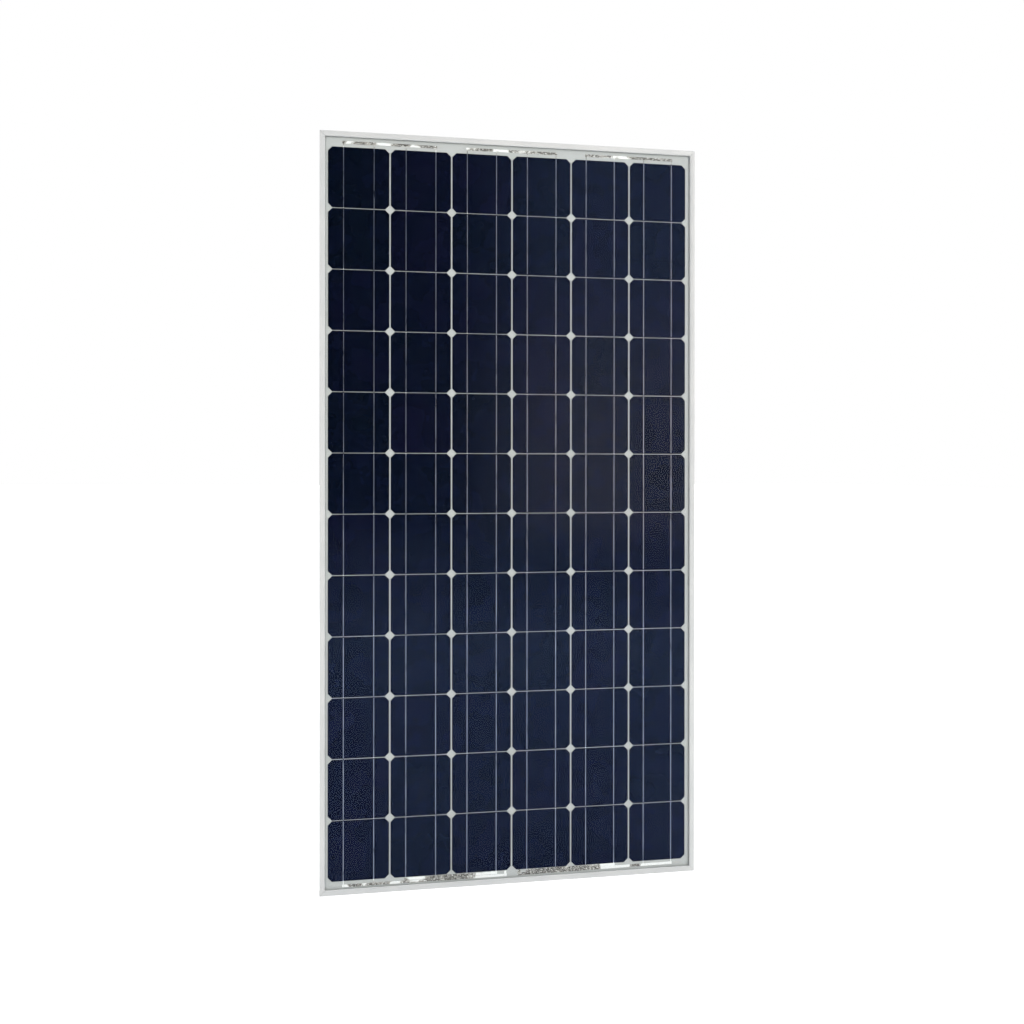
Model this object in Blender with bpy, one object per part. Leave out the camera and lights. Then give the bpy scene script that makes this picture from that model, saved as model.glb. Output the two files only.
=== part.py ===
"""A framed crystalline solar module, 808 x 1580 x 35 mm, built piece by piece.

The module stands upright: X runs across its width, Z runs up its height, and the
sunny side faces -Y. Z = 0 is the lower outer edge, and X = Y = 0 is the middle of
that edge. "Depth" is always measured from the front of the frame towards the rear,
and "inward" from an outer edge of the frame towards the middle of the module.
"""

import math

import bmesh
import bpy
from mathutils import Vector

# Overall size
MODULE_WIDTH = 0.808
MODULE_HEIGHT = 1.580
MODULE_DEPTH = 0.035
TOUCH_GAP = 0.0003
LAYER_GAP = 0.00005

# Frame extrusion: inward and depth positions of its walls
LIP_WIDTH = 0.010
LIP_THICKNESS = 0.0015
LIP_CHAMFER = 0.0005
OUTER_WALL = 0.0018
SHELF_FRONT = 0.0085
CHAMBER_FRONT = 0.010
CHAMBER_INNER = 0.0082
FLANGE_THICKNESS = 0.0018
LONG_FLANGE = 0.030
SHORT_FLANGE = 0.020
MITRE_GAP = 0.0003

# Holes in the frame
SLOT_LENGTH = 0.014
SLOT_WIDTH = 0.009
SLOT_CORNER = 0.00449
SLOT_INWARD = 0.0205
SLOT_SPACINGS = (0.790, 1.180)
GROUND_HOLE_RADIUS = 0.002
GROUND_HOLE_SPACING = 0.400
DRAIN_HOLE_RADIUS = 0.0025
DRAIN_HOLE_SPACING = 0.560
CUTTER_OVERRUN = 0.002

# Corner keys
KEY_ARM = 0.055
KEY_TOOTH_PITCH = 0.008
KEY_TOOTH_DEPTH = 0.0006
KEY_TEETH = 4

# Laminate: inward position of its edge and depth of each layer
GLASS_INWARD = 0.0030
SHEET_INWARD = 0.0034
GLASS_FRONT = 0.0025
GLASS_BACK = 0.0057
GLASS_CHAMFER = 0.0004
FRONT_EVA_BACK = 0.00615
RIBBON_FRONT = 0.0062
CELL_FRONT = 0.00635
CELL_BACK = 0.00655
BUS_FRONT = 0.00645
BUS_BACK = 0.0067
REAR_EVA_FRONT = 0.00675
REAR_EVA_BACK = 0.00725
BACKSHEET_FRONT = 0.0073
BACKSHEET_BACK = 0.0076

# Edge seal: a U-shaped gasket around the laminate
SEAL_WALL = 0.0006
SEAL_INWARD = OUTER_WALL + TOUCH_GAP
SEAL_FRONT = 0.0017
SEAL_FRONT_LEG = 0.0108
SEAL_BACK = 0.0083
SEAL_BACK_LEG = 0.0097

# Cells and the ribbons that join them
COLUMNS = 6
ROWS = 12
CELL_SIZE = 0.125
WAFER_RADIUS = 0.0825
COLUMN_PITCH = 0.129
ROW_PITCH = 0.127
FIELD_SHIFT_X = -0.0016
FIELD_SHIFT_Z = -0.0024
FIRST_ROW_Z = (MODULE_HEIGHT - (ROWS - 1) * ROW_PITCH) / 2 + FIELD_SHIFT_Z
RIBBON_OFFSET = CELL_SIZE / 4
RIBBON_WIDTH = 0.002
RIBBON_BACK = 0.0064
FIELD_BOTTOM = FIRST_ROW_Z - CELL_SIZE / 2
FIELD_TOP = FIRST_ROW_Z + (ROWS - 1) * ROW_PITCH + CELL_SIZE / 2

# Bus ribbons across the ends of the strings
BUS_WIDTH = 0.0055
TOP_BUS_Z = FIELD_TOP + 0.0076
INNER_BUS_Z = FIELD_BOTTOM - 0.0069
OUTER_BUS_Z = FIELD_BOTTOM - 0.0130
BUS_OVERRUN = 0.0025
INNER_LINK_RISE = 0.0010
OUTER_LEAD_RISE = 0.0022
RISE_AT_LAST_STRING = 0.0018
TAIL_WIDTH = 0.005
TAIL_THICKNESS = 0.00025
TAIL_FRONT = 0.0068
TAIL_FOOT_INSET = 0.0008
TAIL_END_RISE = 0.020
INSULATOR_MARGIN = 0.002
WINDOW_MARGIN = 0.002
LINK_TERMINAL_X = 0.043
LEAD_TERMINAL_X = 0.015

# Junction box, whose own origin is the middle of its foot on the backsheet
BOX_CENTRE_Z = 0.093
BOX_WIDTH = 0.120
BOX_HEIGHT = 0.096
BOX_CORNER = 0.006
BOX_WALL = 0.003
BOX_FOOT = 0.00115
BOX_FLOOR = 0.0034
BOX_RIM = 0.0224
SEAL_LEDGE = 0.0208
LEDGE_WIDTH = 0.0016
LID_FRONT = 0.0227
LID_BACK = 0.0252
LID_RIB_DEPTH = 0.0012
LID_RIB_WALL = 0.0014
FEED_SLOT_Z = -0.029
FEED_SLOT_HEIGHT = 0.008
FEED_SLOT_WIDTH = 0.100
ADHESIVE_INSET = 0.002
ADHESIVE_WIDTH = 0.008
LID_RIB_CLEARANCE = 0.0004
LID_EDGE_ROUND = 0.0008
WELD = 0.0005

# Lid hinge and latches
HINGE_Y = 0.0234
HINGE_Z = 0.0515
KNUCKLE_RADIUS = 0.0028
PIN_RADIUS = 0.001
PIN_LENGTH = 0.081
BASE_KNUCKLE = (0.032, 0.040)
LID_KNUCKLE = (0.022, 0.0317)
LATCH_X = 0.030
LATCH_WIDTH = 0.012
LATCH_LENGTH = 0.0085
GUSSET_START = 0.0135
GUSSET_END = 0.0204

# Electrical parts in the box
TERMINAL_FRONT = 0.0048
TERMINAL_BACK = 0.0056
TERMINAL_WIDTH = 0.016
TERMINAL_START = -0.023
SHORT_TERMINAL_END = 0.013
LONG_TERMINAL_END = 0.029
POST_WIDTH = 0.010
POST_INSET = 0.002
TERMINAL_CORNER = 0.0015
CLAMP_WIDTH = 0.009
CLAMP_THICKNESS = 0.0005
DIODE_RADIUS = 0.0026
DIODE_LENGTH = 0.0095
DIODE_LEAD = 0.0012
DIODE_Y = 0.0090
DIODE_OVERLAP = 0.003
OUTER_DIODE_DROP = 0.004
LONG_DIODE_DROP = 0.006

# Cable glands on the sides of the box
GLAND_Y = 0.0123
GLAND_Z = 0.029
GLAND_SEGMENTS = 24
HEX_APOTHEM = 0.0075
THREAD_RADIUS = 0.006
THREAD_CLEARANCE = 0.0003
GLAND_BORE = 0.0035
GROMMET_SEAT = 0.0048
GROMMET_BORE = 0.0031

# Positions along a gland's axis, outward from the outside of the box's wall
GLAND_INNER_END = -0.008
LOCKNUT_SPAN = (-0.0072, -0.0033)
FLANGE_START = TOUCH_GAP
FLANGE_END = 0.0043
SEAT_START = 0.0058
THREAD_END = 0.0123
GROMMET_LIP = 0.0022
NUT_START = FLANGE_END + TOUCH_GAP
NUT_HEX_END = 0.0120
NUT_END = 0.0200

# Blank rating plate on the rear
LABEL_WIDTH = 0.100
LABEL_HEIGHT = 0.062
LABEL_THICKNESS = 0.00015
LABEL_CORNER = 0.003
LABEL_X = 0.180
LABEL_Z = 0.330

# Finishes: colour, roughness and metallic value
ANODISED = ((0.80, 0.81, 0.82), 0.38, 0.9)
DIE_CAST = ((0.55, 0.56, 0.58), 0.5, 1.0)
SEALANT = ((0.35, 0.36, 0.37), 0.7, 0.0)
CLEAR_GLASS = ((0.92, 0.96, 0.95), 0.06, 0.0)
CLEAR_FILM = ((0.90, 0.92, 0.93), 0.3, 0.0)
SILICON = ((0.012, 0.017, 0.055), 0.25, 0.1)
WHITE_FILM = ((0.86, 0.87, 0.88), 0.55, 0.0)
TINNED_COPPER = ((0.78, 0.79, 0.80), 0.3, 1.0)
BLACK_PLASTIC = ((0.020, 0.020, 0.022), 0.45, 0.0)
BLACK_RUBBER = ((0.015, 0.015, 0.015), 0.8, 0.0)
WHITE_SILICONE = ((0.80, 0.80, 0.78), 0.6, 0.0)
STEEL = ((0.60, 0.60, 0.61), 0.35, 1.0)
LABEL_FILM = ((0.88, 0.88, 0.86), 0.5, 0.0)


def clear_scene():
    for obj in list(bpy.context.scene.objects):
        bpy.data.objects.remove(obj, do_unlink=True)


def at_depth(depth):
    """The Y coordinate of a depth behind the front of the frame."""
    return depth - MODULE_DEPTH / 2


def make_material(name, finish):
    colour, roughness, metallic = finish
    material = bpy.data.materials.new(name)
    material.use_nodes = True
    shader = material.node_tree.nodes["Principled BSDF"]
    shader.inputs["Base Color"].default_value = (*colour, 1.0)
    shader.inputs["Roughness"].default_value = roughness
    shader.inputs["Metallic"].default_value = metallic
    material.diffuse_color = (*colour, 1.0)
    return material


def place(obj, parent, location, rotation):
    obj.parent = parent
    obj.location = location
    obj.rotation_euler = rotation


def add_mesh(name, bm, parent, location, rotation):
    bmesh.ops.recalc_face_normals(bm, faces=bm.faces)
    mesh = bpy.data.meshes.new(name)
    bm.to_mesh(mesh)
    bm.free()
    obj = bpy.data.objects.new(name, mesh)
    bpy.context.scene.collection.objects.link(obj)
    place(obj, parent, location, rotation)
    return obj


def add_part(name, bm, finish, parent=None, location=(0, 0, 0), rotation=(0, 0, 0), smooth=False):
    obj = add_mesh(name, bm, parent, location, rotation)
    obj.data.materials.append(make_material(name, finish))
    if smooth:
        obj.data.shade_smooth()
        obj.data.set_sharp_from_angle(angle=math.radians(35))
    return obj


def add_empty(name, location, rotation=(0, 0, 0), parent=None):
    empty = bpy.data.objects.new(name, None)
    empty.empty_display_size = 0.02
    bpy.context.scene.collection.objects.link(empty)
    place(empty, parent, location, rotation)
    return empty


def combine(obj, operation, name, bm):
    """Cuts from obj, or joins to it, a helper shape in the same axes as obj."""
    helper = add_mesh(name, bm, obj.parent, obj.location, obj.rotation_euler)
    helper.hide_render = True
    helper.display_type = "WIRE"
    modifier = obj.modifiers.new(name, "BOOLEAN")
    modifier.operation = operation
    modifier.solver = "EXACT"
    modifier.object = helper


def cut(obj, name, bm):
    combine(obj, "DIFFERENCE", name, bm)


def fuse(obj, name, bm):
    combine(obj, "UNION", name, bm)


def add_prism(bm, outline, start, end, axis="Y"):
    """Extrudes a closed outline along an axis. The outline's pairs are (y, z) for
    axis X, (x, z) for axis Y, and (x, y) for axis Z."""
    place_of_axis = "XYZ".index(axis)
    rings = []
    for along in (start, end):
        ring = []
        for pair in outline:
            point = list(pair)
            point.insert(place_of_axis, along)
            ring.append(bm.verts.new(point))
        rings.append(ring)
    bm.faces.new(rings[0])
    bm.faces.new(reversed(rings[1]))
    count = len(outline)
    for i in range(count):
        j = (i + 1) % count
        bm.faces.new((rings[0][i], rings[0][j], rings[1][j], rings[1][i]))


def prism(outline, start, end, axis="Y"):
    bm = bmesh.new()
    add_prism(bm, outline, start, end, axis)
    return bm


def rectangle(low_a, high_a, low_b, high_b):
    return [(low_a, low_b), (high_a, low_b), (high_a, high_b), (low_a, high_b)]


def arc(centre_a, centre_b, radius, start_deg, end_deg, steps):
    points = []
    for i in range(steps + 1):
        angle = math.radians(start_deg + (end_deg - start_deg) * i / steps)
        points.append((centre_a + radius * math.cos(angle), centre_b + radius * math.sin(angle)))
    return points


def circle(centre_a, centre_b, radius, steps):
    return arc(centre_a, centre_b, radius, 0, 360, steps)[:-1]


def rounded_rectangle(width, height, radius, steps=4, centre=(0.0, 0.0)):
    reach_a = width / 2 - radius
    reach_b = height / 2 - radius
    corners = ((1, 1, 0), (-1, 1, 90), (-1, -1, 180), (1, -1, 270))
    points = []
    for sign_a, sign_b, start in corners:
        corner_a = centre[0] + sign_a * reach_a
        corner_b = centre[1] + sign_b * reach_b
        points += arc(corner_a, corner_b, radius, start, start + 90, steps)
    return points


def strip_outline(path, thickness):
    """The outline of a bent strip whose one side follows the path, to its left."""
    points = [Vector(point) for point in path]
    offset = []
    for i, point in enumerate(points):
        before = (point - points[i - 1]).normalized() if i else None
        after = (points[i + 1] - point).normalized() if i + 1 < len(points) else None
        first = before or after
        second = after or before
        normal = Vector((-first.y - second.y, first.x + second.x)).normalized()
        share = normal.dot(Vector((-first.y, first.x)))
        offset.append(point + normal * (thickness / share))
    return [tuple(point) for point in points + offset[::-1]]


# ---------------------------------------------------------------- frame


def rail_outline(flange_width):
    """Outer outline of the extrusion as (inward, depth) pairs."""
    flange_front = MODULE_DEPTH - FLANGE_THICKNESS
    return [
        (LIP_CHAMFER, 0.0),
        (LIP_WIDTH - LIP_CHAMFER, 0.0),
        (LIP_WIDTH, LIP_CHAMFER),
        (LIP_WIDTH, LIP_THICKNESS),
        (OUTER_WALL, LIP_THICKNESS),
        (OUTER_WALL, SHELF_FRONT),
        (LIP_WIDTH, SHELF_FRONT),
        (LIP_WIDTH, flange_front),
        (flange_width, flange_front),
        (flange_width, MODULE_DEPTH),
        (0.0, MODULE_DEPTH),
        (0.0, LIP_CHAMFER),
    ]


def chamber_outline():
    """Outline of the hollow chamber inside the extrusion."""
    chamber_back = MODULE_DEPTH - FLANGE_THICKNESS
    return rectangle(OUTER_WALL, CHAMBER_INNER, CHAMBER_FRONT, chamber_back)


def add_mitred_loop(bm, outline, length):
    """Side walls of one extruded outline with 45 degree ends, and its end edges."""
    half = length / 2 - MITRE_GAP / math.sqrt(2)
    ends = []
    for sign in (-1, 1):
        corners = [(sign * (half - inward), at_depth(depth), inward) for inward, depth in outline]
        ends.append([bm.verts.new(corner) for corner in corners])
    count = len(outline)
    end_edges = ([], [])
    for i in range(count):
        j = (i + 1) % count
        bm.faces.new((ends[0][i], ends[0][j], ends[1][j], ends[1][i]))
        for edges, ring in zip(end_edges, ends):
            edges.append(bm.edges.get((ring[i], ring[j])))
    return end_edges


def frame_rail(name, length, flange_width, location, turn):
    """A rail that runs along its own X, with its own +Z pointing inward."""
    bm = bmesh.new()
    outer = add_mitred_loop(bm, rail_outline(flange_width), length)
    inner = add_mitred_loop(bm, chamber_outline(), length)
    for outer_edges, inner_edges in zip(outer, inner):
        bmesh.ops.triangle_fill(bm, use_beauty=True, edges=outer_edges + inner_edges)
    return add_part(name, bm, ANODISED, location=location, rotation=(0, turn, 0))


def flange_cutter(outlines, front):
    bm = bmesh.new()
    for outline in outlines:
        add_prism(bm, outline, at_depth(front), at_depth(MODULE_DEPTH + CUTTER_OVERRUN))
    return bm


def mounting_holes():
    """Slots and earthing holes through the rear flange of a long rail."""
    outlines = []
    for spacing in SLOT_SPACINGS:
        for sign in (-1, 1):
            centre = (sign * spacing / 2, SLOT_INWARD)
            outlines.append(rounded_rectangle(SLOT_LENGTH, SLOT_WIDTH, SLOT_CORNER, 5, centre))
    for sign in (-1, 1):
        outlines.append(circle(sign * GROUND_HOLE_SPACING / 2, SLOT_INWARD, GROUND_HOLE_RADIUS, 12))
    return flange_cutter(outlines, MODULE_DEPTH - 2 * FLANGE_THICKNESS)


def drain_holes():
    """Holes that let water out of the chamber of a short rail."""
    middle = (OUTER_WALL + CHAMBER_INNER) / 2
    outlines = [circle(sign * DRAIN_HOLE_SPACING / 2, middle, DRAIN_HOLE_RADIUS, 12) for sign in (-1, 1)]
    return flange_cutter(outlines, MODULE_DEPTH - 2 * FLANGE_THICKNESS)


def build_frame():
    half_width = MODULE_WIDTH / 2
    middle = MODULE_HEIGHT / 2
    quarter = math.pi / 2
    left = frame_rail("frame_rail_left", MODULE_HEIGHT, LONG_FLANGE, (-half_width, 0, middle), quarter)
    right = frame_rail("frame_rail_right", MODULE_HEIGHT, LONG_FLANGE, (half_width, 0, middle), -quarter)
    bottom = frame_rail("frame_rail_bottom", MODULE_WIDTH, SHORT_FLANGE, (0, 0, 0), 0)
    top = frame_rail("frame_rail_top", MODULE_WIDTH, SHORT_FLANGE, (0, 0, MODULE_HEIGHT), math.pi)
    for rail in (left, right):
        cut(rail, rail.name + "_holes", mounting_holes())
    for rail in (bottom, top):
        cut(rail, rail.name + "_drains", drain_holes())


def key_outline():
    """An L whose arms lie inside two chambers, with teeth along their inner sides."""
    outer = OUTER_WALL + TOUCH_GAP
    inner = CHAMBER_INNER - TOUCH_GAP
    arm = [(inner, inner)]
    for tooth in range(KEY_TEETH):
        start = inner + (tooth + 1) * KEY_TOOTH_PITCH
        arm.append((start, inner))
        arm.append((start + KEY_TOOTH_PITCH / 2, inner - KEY_TOOTH_DEPTH))
    arm.append((KEY_ARM, inner - KEY_TOOTH_DEPTH))
    arm.append((KEY_ARM, outer))
    mirrored = [(b, a) for a, b in reversed(arm[1:])]
    return [(outer, outer)] + mirrored + arm


def build_corner_keys():
    front = at_depth(CHAMBER_FRONT + TOUCH_GAP)
    back = at_depth(MODULE_DEPTH - FLANGE_THICKNESS - TOUCH_GAP)
    for side, sign_x in (("left", -1), ("right", 1)):
        for level, base_z, sign_z in (("bottom", 0.0, 1), ("top", MODULE_HEIGHT, -1)):
            outline = []
            for along, up in key_outline():
                outline.append((sign_x * (MODULE_WIDTH / 2 - along), base_z + sign_z * up))
            add_part(f"corner_key_{level}_{side}", prism(outline, front, back), DIE_CAST)


# ------------------------------------------------------------- laminate


def build_edge_seal():
    """One U-shaped gasket that runs all round the edge of the laminate."""
    section = [
        (SEAL_INWARD, SEAL_FRONT),
        (SEAL_FRONT_LEG, SEAL_FRONT),
        (SEAL_FRONT_LEG, SEAL_FRONT + SEAL_WALL),
        (SEAL_INWARD + SEAL_WALL, SEAL_FRONT + SEAL_WALL),
        (SEAL_INWARD + SEAL_WALL, SEAL_BACK - SEAL_WALL),
        (SEAL_BACK_LEG, SEAL_BACK - SEAL_WALL),
        (SEAL_BACK_LEG, SEAL_BACK),
        (SEAL_INWARD, SEAL_BACK),
    ]
    bm = bmesh.new()
    loops = []
    for inward, depth in section:
        reach = MODULE_WIDTH / 2 - inward
        corners = rectangle(-reach, reach, inward, MODULE_HEIGHT - inward)
        loops.append([bm.verts.new((x, at_depth(depth), z)) for x, z in corners])
    for i, loop in enumerate(loops):
        following = loops[(i + 1) % len(loops)]
        for a in range(4):
            b = (a + 1) % 4
            bm.faces.new((loop[a], loop[b], following[b], following[a]))
    add_part("edge_seal", bm, SEALANT)


def sheet(inward, front, back):
    reach = MODULE_WIDTH / 2 - inward
    outline = rectangle(-reach, reach, inward, MODULE_HEIGHT - inward)
    return prism(outline, at_depth(front), at_depth(back))


def build_sheets():
    glass = sheet(GLASS_INWARD, GLASS_FRONT, GLASS_BACK)
    bmesh.ops.bevel(glass, geom=glass.edges[:], offset=GLASS_CHAMFER, segments=1, affect="EDGES")
    add_part("front_glass", glass, CLEAR_GLASS)
    add_part("front_encapsulant", sheet(SHEET_INWARD, GLASS_BACK + LAYER_GAP, FRONT_EVA_BACK), CLEAR_FILM)

    rear = add_part("rear_encapsulant", sheet(SHEET_INWARD, REAR_EVA_FRONT, REAR_EVA_BACK), CLEAR_FILM)
    half_slot = FEED_SLOT_WIDTH / 2
    slot_low = BOX_CENTRE_Z + FEED_SLOT_Z - FEED_SLOT_HEIGHT / 2
    slot_high = slot_low + FEED_SLOT_HEIGHT
    window = rectangle(-half_slot, half_slot, OUTER_BUS_Z - WINDOW_MARGIN, slot_high)
    cut(rear, "lead_window", prism(window, at_depth(GLASS_BACK), at_depth(SEAL_BACK)))

    backsheet = add_part("backsheet", sheet(SHEET_INWARD, BACKSHEET_FRONT, BACKSHEET_BACK), WHITE_FILM)
    slot = rectangle(-half_slot, half_slot, slot_low, slot_high)
    cut(backsheet, "backsheet_slot", prism(slot, at_depth(GLASS_BACK), at_depth(SEAL_BACK)))

    strip_low = FIELD_BOTTOM + INSULATOR_MARGIN
    strip_reach = half_slot + INSULATOR_MARGIN
    strip = rectangle(-strip_reach, strip_reach, strip_low, slot_high + INSULATOR_MARGIN)
    insulator = prism(strip, at_depth(CELL_BACK + LAYER_GAP), at_depth(REAR_EVA_FRONT - LAYER_GAP))
    add_part("lead_insulator", insulator, WHITE_FILM)


def cell_outline(centre_x, centre_z):
    """A square with the corners that are left when it is cut from a round wafer."""
    half = CELL_SIZE / 2
    corner = math.sqrt(WAFER_RADIUS**2 - half**2)
    quadrant = [(half, corner), (corner, half)]
    points = []
    for _ in range(4):
        points += [(centre_x + a, centre_z + b) for a, b in quadrant]
        quadrant = [(-b, a) for a, b in quadrant]
    return points


def column_x(column):
    return FIELD_SHIFT_X + (column - (COLUMNS - 1) / 2) * COLUMN_PITCH


def ribbon_end(column):
    """Where the ribbons of a string end below its cells."""
    if column == 0:
        return OUTER_BUS_Z
    if column == COLUMNS - 1:
        return OUTER_BUS_Z + RISE_AT_LAST_STRING
    return INNER_BUS_Z


def build_cell_strings():
    for column in range(COLUMNS):
        cells = bmesh.new()
        for row in range(ROWS):
            outline = cell_outline(column_x(column), FIRST_ROW_Z + row * ROW_PITCH)
            add_prism(cells, outline, at_depth(CELL_FRONT), at_depth(CELL_BACK))
        string = add_part(f"cell_string_{column + 1}", cells, SILICON)
        ribbons = bmesh.new()
        for sign in (-1, 1):
            centre = column_x(column) + sign * RIBBON_OFFSET
            low_x = centre - RIBBON_WIDTH / 2
            strip = rectangle(low_x, low_x + RIBBON_WIDTH, ribbon_end(column), TOP_BUS_Z + BUS_WIDTH)
            add_prism(ribbons, strip, at_depth(RIBBON_FRONT), at_depth(RIBBON_BACK))
        fuse(string, f"string_ribbons_{column + 1}", ribbons)


def bus_outline(start_x, end_x, low_z, rise=0.0):
    """A straight ribbon that may climb a little towards its end."""
    return [
        (start_x, low_z),
        (end_x, low_z + rise),
        (end_x, low_z + rise + BUS_WIDTH),
        (start_x, low_z + BUS_WIDTH),
    ]


def lead_tail(centre_x, bus_z):
    """The end of a bus ribbon that runs up behind the cells and into the box."""
    feed_z = BOX_CENTRE_Z + FEED_SLOT_Z
    back = TAIL_FRONT + TAIL_THICKNESS
    landing = BACKSHEET_BACK + TERMINAL_BACK + LAYER_GAP
    foot_front = BUS_BACK - TAIL_THICKNESS / 2
    foot_low = bus_z + TAIL_FOOT_INSET
    foot_high = bus_z + BUS_WIDTH - TAIL_FOOT_INSET
    side = [
        (foot_front, foot_low),
        (back, foot_low),
        (back, feed_z - TAIL_THICKNESS),
        (landing + TAIL_THICKNESS, feed_z - TAIL_THICKNESS),
        (landing + TAIL_THICKNESS, feed_z + TAIL_END_RISE),
        (landing, feed_z + TAIL_END_RISE),
        (landing, feed_z),
        (TAIL_FRONT, feed_z),
        (TAIL_FRONT, foot_high),
        (foot_front, foot_high),
    ]
    outline = [(at_depth(depth), z) for depth, z in side]
    low_x = centre_x - TAIL_WIDTH / 2
    return prism(outline, low_x, low_x + TAIL_WIDTH, axis="X")


def build_bus_ribbons():
    front = at_depth(BUS_FRONT)
    back = at_depth(BUS_BACK)
    reach = RIBBON_OFFSET + BUS_OVERRUN
    for column in range(0, COLUMNS, 2):
        outline = bus_outline(column_x(column) - reach, column_x(column + 1) + reach, TOP_BUS_Z)
        name = f"bus_link_top_{column + 1}_{column + 2}"
        add_part(name, prism(outline, front, back), TINNED_COPPER)

    left_link = bus_outline(column_x(1) - reach, column_x(2) + reach, INNER_BUS_Z)
    right_link = bus_outline(column_x(3) - reach, column_x(4) + reach, INNER_BUS_Z, INNER_LINK_RISE)
    lead_reach = LEAD_TERMINAL_X - TAIL_WIDTH / 2 - 0.001
    left_lead = bus_outline(column_x(0) - reach, -lead_reach, OUTER_BUS_Z)
    right_lead = bus_outline(lead_reach, column_x(5) + reach, OUTER_BUS_Z, OUTER_LEAD_RISE)
    pieces = (
        ("bus_lead_string_1", left_lead, -LEAD_TERMINAL_X, OUTER_BUS_Z),
        ("bus_link_bottom_2_3", left_link, -LINK_TERMINAL_X, INNER_BUS_Z),
        ("bus_link_bottom_4_5", right_link, LINK_TERMINAL_X, INNER_BUS_Z),
        ("bus_lead_string_6", right_lead, LEAD_TERMINAL_X, OUTER_BUS_Z),
    )
    for name, outline, tail_x, tail_z in pieces:
        ribbon = add_part(name, prism(outline, front, back), TINNED_COPPER)
        fuse(ribbon, name + "_tail", lead_tail(tail_x, tail_z))


# --------------------------------------------------------- junction box


def box_outline(inset, steps=4):
    radius = max(BOX_CORNER - inset, 0.002)
    return rounded_rectangle(BOX_WIDTH - 2 * inset, BOX_HEIGHT - 2 * inset, radius, steps)


def add_ring(bm, outer, inner, start, end):
    """A flat ring between two outlines with the same number of points."""
    loops = []
    for outline, along in ((outer, start), (outer, end), (inner, end), (inner, start)):
        loops.append([bm.verts.new((x, along, z)) for x, z in outline])
    count = len(outer)
    for i, loop in enumerate(loops):
        following = loops[(i + 1) % len(loops)]
        for a in range(count):
            b = (a + 1) % count
            bm.faces.new((loop[a], loop[b], following[b], following[a]))


def ring(outer, inner, start, end):
    bm = bmesh.new()
    add_ring(bm, outer, inner, start, end)
    return bm


def mirrored_spans(span):
    low, high = span
    return ((low, high), (-high, -low))


def base_knuckles():
    """Two hinge knuckles on gussets above the box's upper wall."""
    half = BOX_HEIGHT / 2
    curve = arc(HINGE_Y, HINGE_Z, KNUCKLE_RADIUS, 270, 495, 10)
    outline = [(GUSSET_START, half - WELD), (GUSSET_END, half - WELD)] + curve
    bm = bmesh.new()
    for low, high in mirrored_spans(BASE_KNUCKLE):
        add_prism(bm, outline, low, high, axis="X")
    return bm


def hinge_holes(span, y, z):
    bm = bmesh.new()
    hole = circle(y, z, PIN_RADIUS + TOUCH_GAP, 12)
    for low, high in mirrored_spans(span):
        add_prism(bm, hole, low - CUTTER_OVERRUN, high + CUTTER_OVERRUN, axis="X")
    return bm


def terminal_span(index):
    """Centre and upper end of a terminal, counted from the left."""
    centres = (-LINK_TERMINAL_X, -LEAD_TERMINAL_X, LEAD_TERMINAL_X, LINK_TERMINAL_X)
    end = LONG_TERMINAL_END if index in (0, 3) else SHORT_TERMINAL_END
    return centres[index], end


def box_posts():
    """Moulded posts that carry the terminals."""
    bm = bmesh.new()
    for index in range(4):
        centre, end = terminal_span(index)
        low_x = centre - POST_WIDTH / 2
        post = rectangle(low_x, low_x + POST_WIDTH, TERMINAL_START + POST_INSET, end - POST_INSET)
        add_prism(bm, post, BOX_FLOOR - WELD, TERMINAL_FRONT - TOUCH_GAP)
    return bm


def build_box_base(box):
    block = prism(box_outline(0), BOX_FOOT, BOX_RIM)
    base = add_part("junction_box_base", block, BLACK_PLASTIC, box, smooth=True)
    cut(base, "box_cavity", prism(box_outline(BOX_WALL), BOX_FLOOR, BOX_RIM + 2 * CUTTER_OVERRUN))
    ledge = prism(box_outline(BOX_WALL - LEDGE_WIDTH), SEAL_LEDGE, BOX_RIM + CUTTER_OVERRUN)
    cut(base, "box_ledge", ledge)
    half_slot = FEED_SLOT_WIDTH / 2
    slot_low = FEED_SLOT_Z - FEED_SLOT_HEIGHT / 2
    slot = rectangle(-half_slot, half_slot, slot_low, slot_low + FEED_SLOT_HEIGHT)
    cut(base, "box_feed_slot", prism(slot, BOX_FOOT - CUTTER_OVERRUN, BOX_FLOOR + WELD))
    holes = bmesh.new()
    for low, high in mirrored_spans((BOX_WIDTH / 2 - 2 * BOX_WALL, BOX_WIDTH / 2 + BOX_WALL)):
        hole = circle(GLAND_Y, GLAND_Z, THREAD_RADIUS + THREAD_CLEARANCE, GLAND_SEGMENTS)
        add_prism(holes, hole, low, high, axis="X")
    cut(base, "box_gland_holes", holes)
    fuse(base, "box_terminal_posts", box_posts())
    fuse(base, "box_knuckles", base_knuckles())
    cut(base, "box_pin_holes", hinge_holes(BASE_KNUCKLE, HINGE_Y, HINGE_Z))


def lid_knuckles(offset_z):
    """Two hinge knuckles on the lid's upper edge, in the lid's own axes."""
    edge = BOX_HEIGHT / 2 - offset_z
    plate_front = LID_FRONT - HINGE_Y + WELD / 2
    plate_back = LID_BACK - HINGE_Y - WELD / 2
    curve = arc(0, 0, KNUCKLE_RADIUS, 230, -50, 10)
    web = [(plate_back, edge - 0.0015), (plate_front, edge - 0.0015), (plate_front, edge + 0.0003)]
    outline = web + curve
    bm = bmesh.new()
    for low, high in mirrored_spans(LID_KNUCKLE):
        add_prism(bm, outline, low, high, axis="X")
    return bm


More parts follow.
